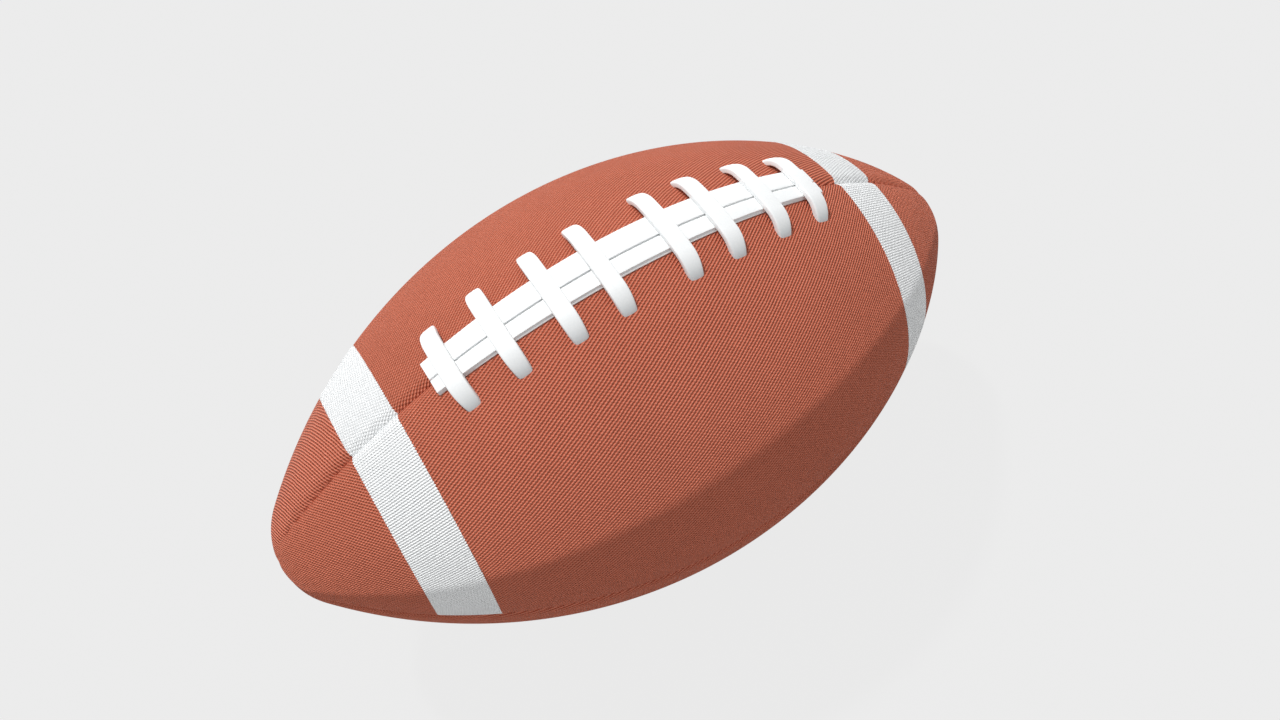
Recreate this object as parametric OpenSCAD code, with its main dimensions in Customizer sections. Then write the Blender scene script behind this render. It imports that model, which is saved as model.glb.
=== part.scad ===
// American football: four leather panels over a lined, laced cover with an inner bladder.
// The long axis lies along X, the lace seam is on top and the ball rests on z = 0.
// Angles around the ball are counted from +Y (back) over +Z (top) to -Y (front).

/* [Ball] */
// Length from tip to tip
ball_length = 280; // [270:1:300]
// Diameter at mid-length
ball_diameter = 152; // [144:1:172]
// Radius of the round tips
nose_radius = 27.3; // [24:0.1:32]

/* [Cover] */
// Thickness of the leather
leather_thickness = 2.2; // [2.1:0.1:3]
// Thickness of the cloth lining behind it
lining_thickness = 0.9; // [0.6:0.1:1.4]
// Depth of the valley along each seam
valley_depth = 1.5; // [0.9:0.1:1.6]
// Half of the width of that valley
valley_half_width = 3.5; // [2.8:0.1:4.5]
// How far the turned-in seam edges reach below the leather
allowance_depth = 2.6; // [1.6:0.1:3.2]
// Thickness of one turned-in seam edge
allowance_thickness = 1.5; // [1.1:0.1:2]
// Distance from a tip to the trimmed end of the seam edges
tip_clearance = 22; // [18:1:30]
// Diameter of the waxed seam thread
thread_diameter = 0.9; // [0.5:0.1:1.2]

/* [Stripes] */
// Place of a stripe's inner edge, in percent of the way from mid-length to a tip
stripe_percent = 60.6; // [56:0.2:67]
// Width of a stripe
stripe_width = 17.9; // [12:0.1:24]
// Thickness of the white coat
coat_thickness = 0.3; // [0.2:0.05:0.4]

/* [Lacing] */
// Width of the lace strip
lace_width = 6.2; // [5:0.1:8]
// Thickness of the lace where it crosses
lace_thickness = 2; // [1.4:0.1:2.6]
// Inner radius of the bend where a cross turns into its hole
lace_bend = 0.8; // [0.4:0.1:1]
// Half of the angle that a cross spans around the ball
cross_half_angle = 14.6; // [13:0.1:17]
// Gap between the two middle crosses, centre to centre
cross_middle_gap = 24.8; // [20:0.1:28]
// Pitch from the middle crosses to the next pair
cross_pitch_second = 17.1; // [14:0.1:19]
// Pitch from the second pair to the third
cross_pitch_third = 19.4; // [16:0.1:21]
// Pitch from the third pair to the outer pair
cross_pitch_outer = 17.5; // [14:0.1:19]
// How far the lacing sits to the right of mid-length
lacing_offset = 1; // [0:0.1:3]
// Length of the two lengthwise runs
rail_length = 144.2; // [142:0.2:150]
// Thickness of a lengthwise run
rail_thickness = 1.4; // [0.8:0.1:1.8]
// Angle around the ball that the front lengthwise run spans
rail_front_angle = 5.1; // [4:0.1:7]
// Angle around the ball that the back lengthwise run spans
rail_back_angle = 6.3; // [4:0.1:7]
// Gap between the two lengthwise runs
rail_gap = 0.4; // [0.2:0.1:1]
// Thickness of the lace where it returns inside the cover
return_thickness = 1.4; // [1:0.1:2]

/* [Lace opening] */
// Thickness of the facing strips that carry the lace holes
facing_thickness = 1.2; // [0.8:0.1:1.8]
// Half of the angle that the facings span
facing_half_angle = 20.5; // [19:0.5:24]
// How far the facings run on past the lengthwise runs
facing_overrun = 10; // [6:1:12]
// Thickness of the guard under the lacing
guard_thickness = 1.2; // [0.8:0.1:2]
// Half of the angle that the guard spans
guard_half_angle = 24; // [22:0.5:28]
// How far the guard runs on past the lengthwise runs
guard_overrun = 13; // [8:1:15]
// How far the unstitched opening runs on past the lengthwise runs
opening_overrun = 17; // [16:1:19]

/* [Bladder and valve] */
// Wall of the bladder
bladder_wall = 0.8; // [0.6:0.1:1.4]
// Angle around the ball at which the valve sits
valve_angle = 315; // [300:1:330]
// Outer radius of the valve body
valve_radius = 3.5; // [3.2:0.1:4.5]
// Length of the valve body
valve_length = 15; // [13:0.5:18]
// Radius of the valve core
core_radius = 2.1; // [1.8:0.1:2.6]
// Length of the valve core
core_length = 11; // [8:0.5:12]
// Radius of the bore that takes the inflation needle
needle_bore_radius = 1; // [0.8:0.05:1.3]
// Depth of the valve body's face below the leather
valve_sink = 0.4; // [0.3:0.1:0.6]
// Depth of the core's face below the body's face
core_sink = 0.5; // [0.3:0.1:1]
// Radius of the patch that bonds the valve to the bladder
patch_radius = 11; // [8:0.5:14]
// Thickness of that patch
patch_thickness = 1.4; // [1:0.1:2]

/* [Hidden] */

$fn = 144;

// Angle at which each quarter panel starts, and the angles of the four seams
panel_count = 4;
quarter = 360 / panel_count;
back_laced = 0;
front_laced = back_laced + quarter;
front_plain = front_laced + quarter;
back_plain = front_plain + quarter;
back_seam = back_laced;
lace_seam = front_laced;
front_seam = front_plain;
bottom_seam = back_plain;

// The outline is one belly arc that runs tangent into two nose arcs
half_length = ball_length / 2;
ball_radius = ball_diameter / 2;
nose_x = half_length - nose_radius;
belly_radius = (half_length ^ 2 + ball_radius ^ 2 - 2 * half_length * nose_radius)
    / (2 * (ball_radius - nose_radius));
belly_z = ball_radius - belly_radius;
shoulder_angle = atan2(nose_x, -belly_z);

// Places along the ball that follow its length
stripe_inner = half_length * stripe_percent / 100;
allowance_end = half_length - tip_clearance;

// Small spaces: between soft layers, around the lace in its holes, past the end of a cut
layer_gap = 0.03;
hole_clearance = 0.15;
overrun = 1;
slack = 0.1;

// Depths below the outer surface, from the leather inwards
lining_depth = leather_thickness + layer_gap;
facing_depth = lining_depth + lining_thickness + layer_gap;
return_depth = facing_depth + facing_thickness + layer_gap;
guard_depth = return_depth + return_thickness + layer_gap;
bladder_depth = facing_depth;
allowance_bottom = leather_thickness + allowance_depth;
recess_depth = guard_depth + guard_thickness + layer_gap;

// The valley's two lips are round, and meet at its bottom. Its sweep goes on past the
// shoulder until it has risen out of the more curved tip.
lip_radius = (valley_half_width ^ 2 + valley_depth ^ 2) / (2 * valley_depth);
run_out_length = sqrt(2 * (valley_depth + overrun) / (1 / nose_radius - 1 / belly_radius));
valley_end_angle = shoulder_angle + atan2(run_out_length, belly_radius);

// The lengths of the layers at the lace opening
rail_half_length = rail_length / 2;
opening_half_length = rail_half_length + opening_overrun;
facing_half_length = rail_half_length + facing_overrun;
guard_half_length = rail_half_length + guard_overrun;

// Places of the eight crosses along the ball
first_cross_x = cross_middle_gap / 2;
second_cross_x = first_cross_x + cross_pitch_second;
third_cross_x = second_cross_x + cross_pitch_third;
outer_cross_x = third_cross_x + cross_pitch_outer;
cross_places = [
    for (x = [-outer_cross_x, -third_cross_x, -second_cross_x, -first_cross_x,
              first_cross_x, second_cross_x, third_cross_x, outer_cross_x]) lacing_offset + x
];
front_returns = [[0, 1], [2, 3], [4, 5], [6, 7]];
back_returns = [[1, 2], [3, 4], [5, 6]];

// Colours as the photograph shows them
leather_colour = [0.73, 0.41, 0.32];
coat_colour = [0.94, 0.95, 0.95];
lace_colour = [0.98, 0.98, 0.97];
lining_colour = [0.86, 0.83, 0.76];
thread_colour = [0.90, 0.87, 0.78];
facing_colour = [0.55, 0.33, 0.24];
rubber_colour = [0.15, 0.15, 0.15];
core_colour = [0.30, 0.22, 0.19];

// Frames

// Sets the ball's axis at its height above the ground
module at_height() {
    translate([0, 0, ball_radius]) children();
}

// Turns a half outline, drawn as radius and place along the ball, about the long axis
module around(from, sweep) {
    rotate([90, 0, 90]) rotate_extrude(angle = sweep, start = from) children();
}

// Sweeps a section along a seam, from one place on the belly arc to another, in degrees
module along_belly(seam, from, sweep) {
    rotate([seam - lace_seam, 0, 0])
        translate([0, 0, belly_z])
            rotate([-90, 0, 0]) rotate([0, 0, -90])
                rotate_extrude(angle = sweep, start = from) translate([belly_radius, 0]) children();
}

// Puts a shape square on the surface above a place along the lace seam, its local Z outwards.
// The local origin is the centre of the ball's curvature around its axis there.
module on_lace_seam(x) {
    translate([0, 0, belly_z])
        rotate([0, belly_angle(x), 0])
            translate([0, 0, belly_radius - girth_radius(x)]) children();
}

// Points a shape's local Z out through the valve
module on_valve() {
    rotate([valve_angle - lace_seam, 0, 0]) children();
}

// Radius of the ball's surface about its axis at a place on the belly
function belly_girth(x) = belly_z + sqrt(belly_radius ^ 2 - x ^ 2);

// Radius of curvature around the axis there, measured square to the surface
function girth_radius(x) = belly_girth(x) / cos(belly_angle(x));

// Place on the belly arc, in degrees, of a point of the surface
function belly_angle(x) = asin(x / belly_radius);

// Outlines

// Half of the ball's outline, a given depth below the surface
module ball_outline(depth) {
    nose = nose_radius - depth;
    shoulder_x = nose_x + nose * sin(shoulder_angle);
    intersection() {
        translate([belly_z, 0]) circle(r = belly_radius - depth);
        translate([0, -shoulder_x]) square([ball_radius + overrun, 2 * shoulder_x]);
    }
    for (side = [-1, 1])
        intersection() {
            translate([0, side * nose_x]) circle(r = nose);
            translate([0, side > 0 ? shoulder_x : -shoulder_x - nose_radius])
                square([nose_radius, nose_radius]);
        }
}

// The band between two depths below the surface
module layer_outline(outer, inner) {
    difference() {
        ball_outline(outer);
        ball_outline(inner);
    }
}

// The same band, kept between two places along the ball
module patch_outline(outer, inner, from_x, to_x) {
    intersection() {
        layer_outline(outer, inner);
        translate([0, from_x]) square([ball_diameter, to_x - from_x]);
    }
}

// Section of the air in a seam valley, thickened by a skin
module valley_outline(skin) {
    difference() {
        translate([-lip_radius, -valley_half_width])
            square([lip_radius + overrun, 2 * valley_half_width]);
        for (side = [-1, 1])
            translate([-lip_radius, side * valley_half_width]) circle(r = lip_radius - skin);
    }
}

// Section of a cross and its two legs at a place along the ball, in its local frame
module cross_outline(x) {
    inner = girth_radius(x) + rail_thickness + layer_gap;
    outer = inner + lace_thickness;
    turn = cross_turn(x);
    intersection() {
        difference() {
            circle(r = outer);
            circle(r = inner);
        }
        polygon([[0, 0], [-outer * tan(turn) * 2, outer * 2], [outer * tan(turn) * 2, outer * 2]]);
    }
    for (side = [0, 1])
        mirror([side, 0]) rotate([0, 0, -turn]) leg_outline(x, inner);
}

// The bend at the end of a cross and the leg that goes down through the cover
module leg_outline(x, inner) {
    bend_centre = inner - lace_bend;
    leg_bottom = girth_radius(x) - return_depth + slack;
    intersection() {
        translate([0, bend_centre])
            difference() {
                circle(r = lace_bend + lace_thickness);
                circle(r = lace_bend);
            }
        translate([-slack, bend_centre - slack])
            square([lace_bend + lace_thickness + slack, lace_bend + lace_thickness + slack]);
    }
    translate([lace_bend, leg_bottom]) square([lace_thickness, bend_centre - leg_bottom]);
}

// Angle at which a cross starts to bend down, in its local frame
function cross_turn(x) =
    asin(cos(belly_angle(x)) * sin(cross_half_angle))
    - asin((lace_bend + lace_thickness) / girth_radius(x));

// Shapes that several pieces share

// A quarter of the cover with its seam valleys, before holes and stripes
module panel_blank(from) {
    difference() {
        union() {
            around(from, quarter) layer_outline(0, leather_thickness);
            seam_edges(from);
        }
        for (seam = [from, from + quarter]) {
            valley(seam, 0);
            thread_run(seam, thread_diameter + 2 * layer_gap);
        }
    }
}

// The turned-in edges of a panel along its two seams
module seam_edges(from) {
    for (seam = [from, from + quarter])
        intersection() {
            around(from, quarter) seam_edge_outline(seam);
            seam_slab(seam, allowance_thickness);
        }
}

// The part of a seam's edge that is stitched: the lace seam is open in the middle
module seam_edge_outline(seam) {
    top = leather_thickness - slack;
    if (seam == lace_seam) {
        patch_outline(top, allowance_bottom, -allowance_end, lacing_offset - opening_half_length);
        patch_outline(top, allowance_bottom, lacing_offset + opening_half_length, allowance_end);
    } else {
        patch_outline(top, allowance_bottom, -allowance_end, allowance_end);
    }
}

// A slab on both sides of a seam's plane, on that seam's half of the ball
module seam_slab(seam, half_thickness) {
    rotate([seam - lace_seam, 0, 0])
        translate([-half_length, -half_thickness, 0])
            cube([ball_length, 2 * half_thickness, ball_diameter]);
}

// The valley along a seam. Past the belly it runs out over the round tips.
module valley(seam, skin) {
    along_belly(seam, -valley_end_angle, 2 * valley_end_angle) valley_outline(skin);
}

// The thread along a seam, midway down the turned-in edges
module thread_run(seam, diameter) {
    end_angle = belly_angle(allowance_end) - belly_angle(thread_diameter);
    opening_left = belly_angle(lacing_offset - opening_half_length);
    opening_right = belly_angle(lacing_offset + opening_half_length);
    if (seam == lace_seam) {
        along_belly(seam, -end_angle, opening_left + end_angle) thread_outline(diameter);
        along_belly(seam, opening_right, end_angle - opening_right) thread_outline(diameter);
    } else {
        along_belly(seam, -end_angle, 2 * end_angle) thread_outline(diameter);
    }
}

module thread_outline(diameter) {
    translate([-leather_thickness - allowance_depth / 2, 0]) circle(d = diameter);
}

// The coat of one stripe with all the air above it
module stripe_zone(from, side) {
    from_x = side > 0 ? stripe_inner : -stripe_inner - stripe_width;
    around(from, quarter) patch_outline(-overrun, coat_thickness, from_x, from_x + stripe_width);
    intersection() {
        for (seam = [from, from + quarter])
            valley(seam, coat_thickness);
        translate([from_x, -ball_radius, -ball_radius])
            cube([stripe_width, ball_diameter, ball_diameter]);
    }
}

// The holes that let the crosses' legs through one side of the cover
module lace_holes(front) {
    for (x = cross_places)
        on_lace_seam(x)
            mirror([0, front ? 0 : 1, 0]) rotate([cross_turn(x), 0, 0])
                translate([
                    -lace_width / 2 - hole_clearance,
                    -lace_bend - lace_thickness - hole_clearance,
                    girth_radius(x) - return_depth - overrun
                ])
                    cube([
                        lace_width + 2 * hole_clearance,
                        lace_thickness + 2 * hole_clearance,
                        return_depth + 2 * overrun
                    ]);
}

// A round hole from the middle of the ball out through the valve's place
module valve_hole(radius) {
    on_valve() cylinder(r = radius, h = ball_diameter);
}

// A quarter of the lining, cut back from the turned-in seam edges
module lining_blank(from) {
    difference() {
        around(from, quarter) layer_outline(lining_depth, lining_depth + lining_thickness);
        for (seam = [from, from + quarter])
            seam_slab(seam, allowance_thickness + layer_gap);
    }
}

// The solid that the bladder's skin wraps, grown or shrunk by a wall
module bladder_form(wall) {
    difference() {
        around(0, 360) ball_outline(bladder_depth + wall);
        for (seam = [back_seam, front_seam, bottom_seam, lace_seam])
            intersection() {
                around(seam - quarter / 2, quarter)
                    patch_outline(
                        leather_thickness, allowance_bottom + layer_gap + wall,
                        -allowance_end - layer_gap - wall, allowance_end + layer_gap + wall
                    );
                seam_slab(seam, allowance_thickness + layer_gap + wall);
            }
        around(
            lace_seam - guard_half_angle - recess_margin(wall),
            2 * (guard_half_angle + recess_margin(wall))
        )
            patch_outline(
                leather_thickness, recess_depth + wall,
                lacing_offset - guard_half_length - layer_gap - wall,
                lacing_offset + guard_half_length + layer_gap + wall
            );
    }
}

// Angle that a wall and its gap take up beside the guard
function recess_margin(wall) = atan2(wall + layer_gap, ball_radius - recess_depth);

// The cover

module panel_laced(from, front) {
    color(leather_colour)
        at_height()
            difference() {
                panel_blank(from);
                for (side = [-1, 1])
                    stripe_zone(from, side);
                lace_holes(front);
            }
}

module panel_front_laced() {
    panel_laced(front_laced, true);
}

module panel_back_laced() {
    panel_laced(back_laced, false);
}

module panel_front_plain() {
    color(leather_colour) at_height() panel_blank(front_plain);
}

module panel_back_plain() {
    color(leather_colour)
        at_height()
            difference() {
                panel_blank(back_plain);
                valve_hole(valve_radius + slack);
            }
}

// The white coat of one stripe on one laced panel
module stripe(from, side) {
    color(coat_colour)
        at_height()
            intersection() {
                difference() {
                    around(from, quarter) layer_outline(0, leather_thickness);
                    for (seam = [from, from + quarter])
                        valley(seam, 0);
                }
                stripe_zone(from, side);
            }
}

module lining_laced(from, front) {
    color(lining_colour)
        at_height()
            difference() {
                lining_blank(from);
                lace_holes(front);
            }
}

module lining_front_plain() {
    color(lining_colour) at_height() lining_blank(front_plain);
}

module lining_back_plain() {
    color(lining_colour)
        at_height()
            difference() {
                lining_blank(back_plain);
                valve_hole(valve_radius + slack);
            }
}

module seam_thread(seam) {
    color(thread_colour) at_height() thread_run(seam, thread_diameter);
}

// The lacing

module lace_cross(index) {
    x = cross_places[index];
    color(lace_colour)
        at_height() on_lace_seam(x)
            rotate([90, 0, 90]) linear_extrude(lace_width, center = true) cross_outline(x);
}

// One of the two runs that lie side by side along the slit, under the crosses
module lace_rail(front) {
    color(lace_colour)
        at_height()
            difference() {
                around(
                    front ? lace_seam : lace_seam - rail_back_angle,
                    front ? rail_front_angle : rail_back_angle
                )
                    patch_outline(
                        -rail_thickness, -layer_gap,
                        lacing_offset - rail_half_length, lacing_offset + rail_half_length
                    );
                seam_slab(lace_seam, rail_gap / 2);
            }
}

// The runs inside the cover that join one cross to the next
module lace_return(front) {
    width_angle = atan2(lace_width, ball_radius);
    from = front ? lace_seam + cross_half_angle - width_angle : lace_seam - cross_half_angle;
    color(lace_colour)
        at_height()
            for (pair = front ? front_returns : back_returns)
                around(from, width_angle)
                    patch_outline(
                        return_depth, return_depth + return_thickness,
                        cross_places[pair[0]] - lace_width / 2,
                        cross_places[pair[1]] + lace_width / 2
                    );
}

// The strip behind the lining that carries the lace holes of one side
module lace_facing(front) {
    color(facing_colour)
        at_height()
            difference() {
                around(front ? lace_seam : lace_seam - facing_half_angle, facing_half_angle)
                    patch_outline(
                        facing_depth, facing_depth + facing_thickness,
                        lacing_offset - facing_half_length, lacing_offset + facing_half_length
                    );
                seam_slab(lace_seam, rail_gap / 2);
                lace_holes(front);
            }
}

// The guard that keeps the lacing off the bladder
module lace_guard() {
    color(facing_colour)
        at_height()
            around(lace_seam - guard_half_angle, 2 * guard_half_angle)
                patch_outline(
                    guard_depth, guard_depth + guard_thickness,
                    lacing_offset - guard_half_length, lacing_offset + guard_half_length
                );
}

// The bladder and its valve

module bladder() {
    color(rubber_colour)
        at_height()
            difference() {
                bladder_form(0);
                bladder_form(bladder_wall);
                valve_hole(valve_radius);
            }
}

module valve_patch() {
    color(rubber_colour)
        at_height()
            difference() {
                intersection() {
                    around(valve_angle - quarter / 4, quarter / 2)
                        patch_outline(
                            bladder_depth + bladder_wall,
                            bladder_depth + bladder_wall + patch_thickness,
                            -2 * patch_radius, 2 * patch_radius
                        );
                    valve_hole(patch_radius);
                }
                valve_hole(valve_radius);
            }
}

module valve_body() {
    color(rubber_colour)
        at_height() on_valve()
            translate([0, 0, ball_radius - valve_sink - valve_length])
                difference() {
                    cylinder(r = valve_radius, h = valve_length);
                    translate([0, 0, -overrun])
                        cylinder(r = core_radius, h = valve_length + 2 * overrun);
                }
}

module valve_core() {
    color(core_colour)
        at_height() on_valve()
            translate([0, 0, ball_radius - valve_sink - core_sink - core_length])
                difference() {
                    cylinder(r = core_radius, h = core_length);
                    translate([0, 0, -overrun])
                        cylinder(r = needle_bore_radius, h = core_length + 2 * overrun);
                }
}

panel_front_laced();
panel_back_laced();
panel_front_plain();
panel_back_plain();
stripe(front_laced, -1);  // stripe_left_front
stripe(back_laced, -1);  // stripe_left_back
stripe(front_laced, 1);  // stripe_right_front
stripe(back_laced, 1);  // stripe_right_back
lining_laced(front_laced, true);  // lining_front_laced
lining_laced(back_laced, false);  // lining_back_laced
lining_front_plain();
lining_back_plain();
seam_thread(lace_seam);  // thread_lace_seam
seam_thread(bottom_seam);  // thread_bottom_seam
seam_thread(front_seam);  // thread_front_seam
seam_thread(back_seam);  // thread_back_seam
lace_cross(0);  // lace_cross_1
lace_cross(1);  // lace_cross_2
lace_cross(2);  // lace_cross_3
lace_cross(3);  // lace_cross_4
lace_cross(4);  // lace_cross_5
lace_cross(5);  // lace_cross_6
lace_cross(6);  // lace_cross_7
lace_cross(7);  // lace_cross_8
lace_rail(true);  // lace_rail_front
lace_rail(false);  // lace_rail_back
lace_return(true);  // lace_return_front
lace_return(false);  // lace_return_back
lace_facing(true);  // lace_facing_front
lace_facing(false);  // lace_facing_back
lace_guard();
bladder();
valve_patch();
valve_body();
valve_core();
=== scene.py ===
"""American football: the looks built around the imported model.

Lengths are in metres unless a name says mm. Angles around the ball are counted from +Y (back)
over +Z (top, the lace seam) to -Y (front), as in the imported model. A turn is the angle of the
surface's outward normal along the ball: zero at mid-length, a quarter turn at a tip.
"""

import logging
import math
from dataclasses import dataclass
from enum import Enum
from functools import cached_property

import bmesh
import bpy
from mathutils import Matrix, Vector


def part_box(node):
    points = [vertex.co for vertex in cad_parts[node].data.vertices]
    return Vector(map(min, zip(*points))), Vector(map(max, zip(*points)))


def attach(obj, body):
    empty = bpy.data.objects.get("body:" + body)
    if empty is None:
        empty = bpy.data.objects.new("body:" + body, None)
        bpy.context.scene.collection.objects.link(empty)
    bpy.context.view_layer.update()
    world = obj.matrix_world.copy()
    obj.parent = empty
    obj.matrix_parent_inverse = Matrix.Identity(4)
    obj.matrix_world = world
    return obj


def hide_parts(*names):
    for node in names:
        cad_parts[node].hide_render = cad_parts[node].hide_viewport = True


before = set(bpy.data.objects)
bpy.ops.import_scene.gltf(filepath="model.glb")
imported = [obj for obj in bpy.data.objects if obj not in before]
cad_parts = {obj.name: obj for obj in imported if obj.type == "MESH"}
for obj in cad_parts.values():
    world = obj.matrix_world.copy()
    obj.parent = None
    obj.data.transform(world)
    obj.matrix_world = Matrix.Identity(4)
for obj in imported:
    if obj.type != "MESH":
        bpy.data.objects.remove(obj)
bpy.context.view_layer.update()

MM = 0.001
TINY = 1e-6
WELD = 1e-7

log = logging.getLogger("football")

Colour = tuple[float, float, float]
Place = tuple[float, float, float]
Stops = tuple[tuple[float, Colour], ...]
Socket = bpy.types.NodeSocket

WHITE: Colour = (1.0, 1.0, 1.0)


class Quarter(Enum):
    """The four panels, each with the angle around the ball at which it starts."""

    BACK_LACED = 0.0
    FRONT_LACED = math.pi / 2
    FRONT_PLAIN = math.pi
    BACK_PLAIN = 3 * math.pi / 2

    @property
    def middle(self) -> float:
        """Angle of the panel's middle line."""
        return self.value + math.pi / 4

    @property
    def words(self) -> str:
        """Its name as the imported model's nodes have it."""
        return self.name.lower()

    @property
    def side(self) -> str:
        """Front or back, as the nodes of its stripes have it."""
        return self.words.split("_")[0]


class Side(Enum):
    """The two ends of the ball, by the words that its stripes' nodes have for them."""

    LEFT = "left"
    RIGHT = "right"


def smooth(low: float, high: float, value: float) -> float:
    """Rises smoothly from 0 to 1 as the value goes from low to high.

    Args:
        low: The value at which the step starts.
        high: The value at which it ends. It may be below low, for a falling step.
        value: The value to place.

    Returns:
        A share from 0 to 1.
    """
    share = min(1.0, max(0.0, (value - low) / (high - low)))
    return share * share * (3 - 2 * share)


@dataclass(frozen=True)
class Outline:
    """The ball's outline: one belly arc that runs tangent into two nose arcs.

    Attributes:
        length: From tip to tip.
        diameter: At mid-length.
        nose_radius: Radius of the round tips.
    """

    length: float = 0.280
    diameter: float = 0.152
    nose_radius: float = 0.0273

    @cached_property
    def radius(self) -> float:
        """Radius of the ball at mid-length."""
        return self.diameter / 2

    @cached_property
    def nose_x(self) -> float:
        """Distance of a nose arc's centre from mid-length."""
        return self.length / 2 - self.nose_radius

    @cached_property
    def belly_radius(self) -> float:
        """Radius of the belly arc."""
        half = self.length / 2
        rise = half**2 + self.radius**2 - 2 * half * self.nose_radius
        return rise / (2 * (self.radius - self.nose_radius))

    @cached_property
    def belly_z(self) -> float:
        """Distance of the belly arc's centre past the axis, below zero."""
        return self.radius - self.belly_radius

    @cached_property
    def shoulder(self) -> float:
        """Turn at which the belly arc runs into a nose arc."""
        return math.atan2(self.nose_x, -self.belly_z)

    def girth(self, x: float) -> float:
        """Radius of the ball about its axis at a place on the belly."""
        return self.belly_z + math.sqrt(self.belly_radius**2 - x**2)

    def turn_at(self, x: float) -> float:
        """Turn of the surface at a place on the belly."""
        return math.asin(x / self.belly_radius)

    def turn_of(self, x: float, r: float) -> float:
        """Turn of the surface where it lies straight above or below a place.

        Args:
            x: Place along the ball.
            r: Distance from the ball's axis.

        Returns:
            The turn, from minus to plus a quarter turn.
        """
        turn = math.atan2(x, r - self.belly_z)
        if abs(turn) > self.shoulder:
            turn = math.atan2(x - math.copysign(self.nose_x, x), r)
        return turn

    def place(self, turn: float, around: float, height: float = 0.0) -> Vector:
        """Place on the ball, or a height above it, with the axis of the ball on X.

        Args:
            turn: Turn of the surface there.
            around: Angle around the ball.
            height: Height above the surface, below zero for a depth.

        Returns:
            The point, before the ball is lifted onto the ground.
        """
        if abs(turn) <= self.shoulder:
            x = (self.belly_radius + height) * math.sin(turn)
            r = self.belly_z + (self.belly_radius + height) * math.cos(turn)
        else:
            x = math.copysign(self.nose_x, turn) + (self.nose_radius + height) * math.sin(turn)
            r = (self.nose_radius + height) * math.cos(turn)
        return Vector((x, r * math.cos(around), r * math.sin(around)))

    def run(self, turn: float) -> float:
        """Length along the surface from mid-length to a turn.

        Args:
            turn: Turn of the surface at the end of the run.

        Returns:
            The length, below zero on the left half.
        """
        belly = min(abs(turn), self.shoulder)
        nose = abs(turn) - belly
        return math.copysign(belly * self.belly_radius + nose * self.nose_radius, turn)


@dataclass(frozen=True)
class Groove:
    """The valley along a seam, where the edges of two panels turn in.

    Attributes:
        half_width: From the seam to where the leather starts to curve in.
        depth: Of the valley at the seam.
        crease_width: Width of the closed crease at its bottom, on one side.
        crease_depth: How far the leather goes on down in the crease.
        fade_from: Run from mid-length at which the valley starts to get shallow.
        fade_to: Run at which it has its least depth.
        least: Share of the depth that is left at the tips.
    """

    half_width: float = 3.5 * MM
    depth: float = 1.35 * MM
    crease_width: float = 0.5 * MM
    crease_depth: float = 0.02 * MM
    fade_from: float = 0.124
    fade_to: float = 0.158
    least: float = 0.25

    def depth_at(self, offset: float, run: float) -> float:
        """Depth of the leather near a seam.

        Args:
            offset: Distance from the seam on the surface.
            run: Length along the surface from mid-length.

        Returns:
            The depth below the ball's outline.
        """
        if offset >= self.half_width:
            return 0.0
        lip = (self.half_width**2 + self.depth**2) / (2 * self.depth)
        depth = lip - math.sqrt(lip**2 - (self.half_width - offset) ** 2)
        depth += self.crease_depth * (1 - smooth(0, self.crease_width, offset))
        share = 1 - (1 - self.least) * smooth(self.fade_from, self.fade_to, abs(run))
        return depth * share


@dataclass(frozen=True)
class LaceLayout:
    """Where the lacing lies and how thick it is.

    Attributes:
        width: Of the lace strip.
        thickness: Of the strip where it crosses.
        bend: Inner radius where a cross turns down into its hole.
        bend_angle: Angle of that turn, down to the end inside the cover.
        cross_half_angle: Half of the angle that a cross spans around the ball.
        cross_shift: Angle by which the crosses lie further back than the seam.
        rail_thickness: Of a lengthwise run.
        rail_front_angle: Angle that the front lengthwise run spans.
        rail_back_angle: Angle that the back lengthwise run spans.
        gap: Between the layers.
    """

    width: float = 6.2 * MM
    thickness: float = 2.0 * MM
    bend: float = 9.2 * MM
    bend_angle: float = math.radians(66)
    cross_half_angle: float = math.radians(14.55)
    cross_shift: float = math.radians(0.95)
    rail_thickness: float = 1.4 * MM
    rail_front_angle: float = math.radians(5.1)
    rail_back_angle: float = math.radians(6.3)
    gap: float = 0.03 * MM

    @cached_property
    def cross_places(self) -> list[float]:
        """Places of the eight crosses along the ball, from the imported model."""
        boxes = [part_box(f"lace_cross_{index}") for index in range(1, 9)]
        return [(low.x + high.x) / 2 for low, high in boxes]

    def reach(self, outline: Outline, x: float) -> float:
        """Angle from the top at which a cross meets the leather, about its own centre."""
        return math.asin(math.cos(outline.turn_at(x)) * math.sin(self.cross_half_angle))

    def turn_down(self, outline: Outline, x: float) -> float:
        """Angle from the top at which a cross starts to bend down, about its own centre.

        Args:
            outline: The ball's outline.
            x: Place of the cross along the ball.

        Returns:
            The angle.
        """
        girth = outline.girth(x) / math.cos(outline.turn_at(x))
        centre = girth + self.rail_thickness + self.gap - self.bend
        outer = self.bend + self.thickness
        spread = (girth**2 + centre**2 - outer**2) / (2 * girth * centre)
        return self.reach(outline, x) - math.acos(spread)


@dataclass(frozen=True)
class Facets:
    """How finely a sheet of the cover is divided.

    Attributes:
        along: Faces along the belly arc.
        around: Faces around the quarter.
        crowding: How much they crowd towards the seams, from 0 to 1.
        nose: Faces along each nose arc.
    """

    along: int
    around: int
    crowding: float
    nose: int = 24


def placed(name: str, data: bpy.types.ID) -> bpy.types.Object:
    """Puts some data in the scene.

    Args:
        name: Name of the new object.
        data: Its mesh, camera or light.

    Returns:
        The new object.
    """
    item = bpy.data.objects.new(name, data)
    bpy.context.scene.collection.objects.link(item)
    return item


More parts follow.
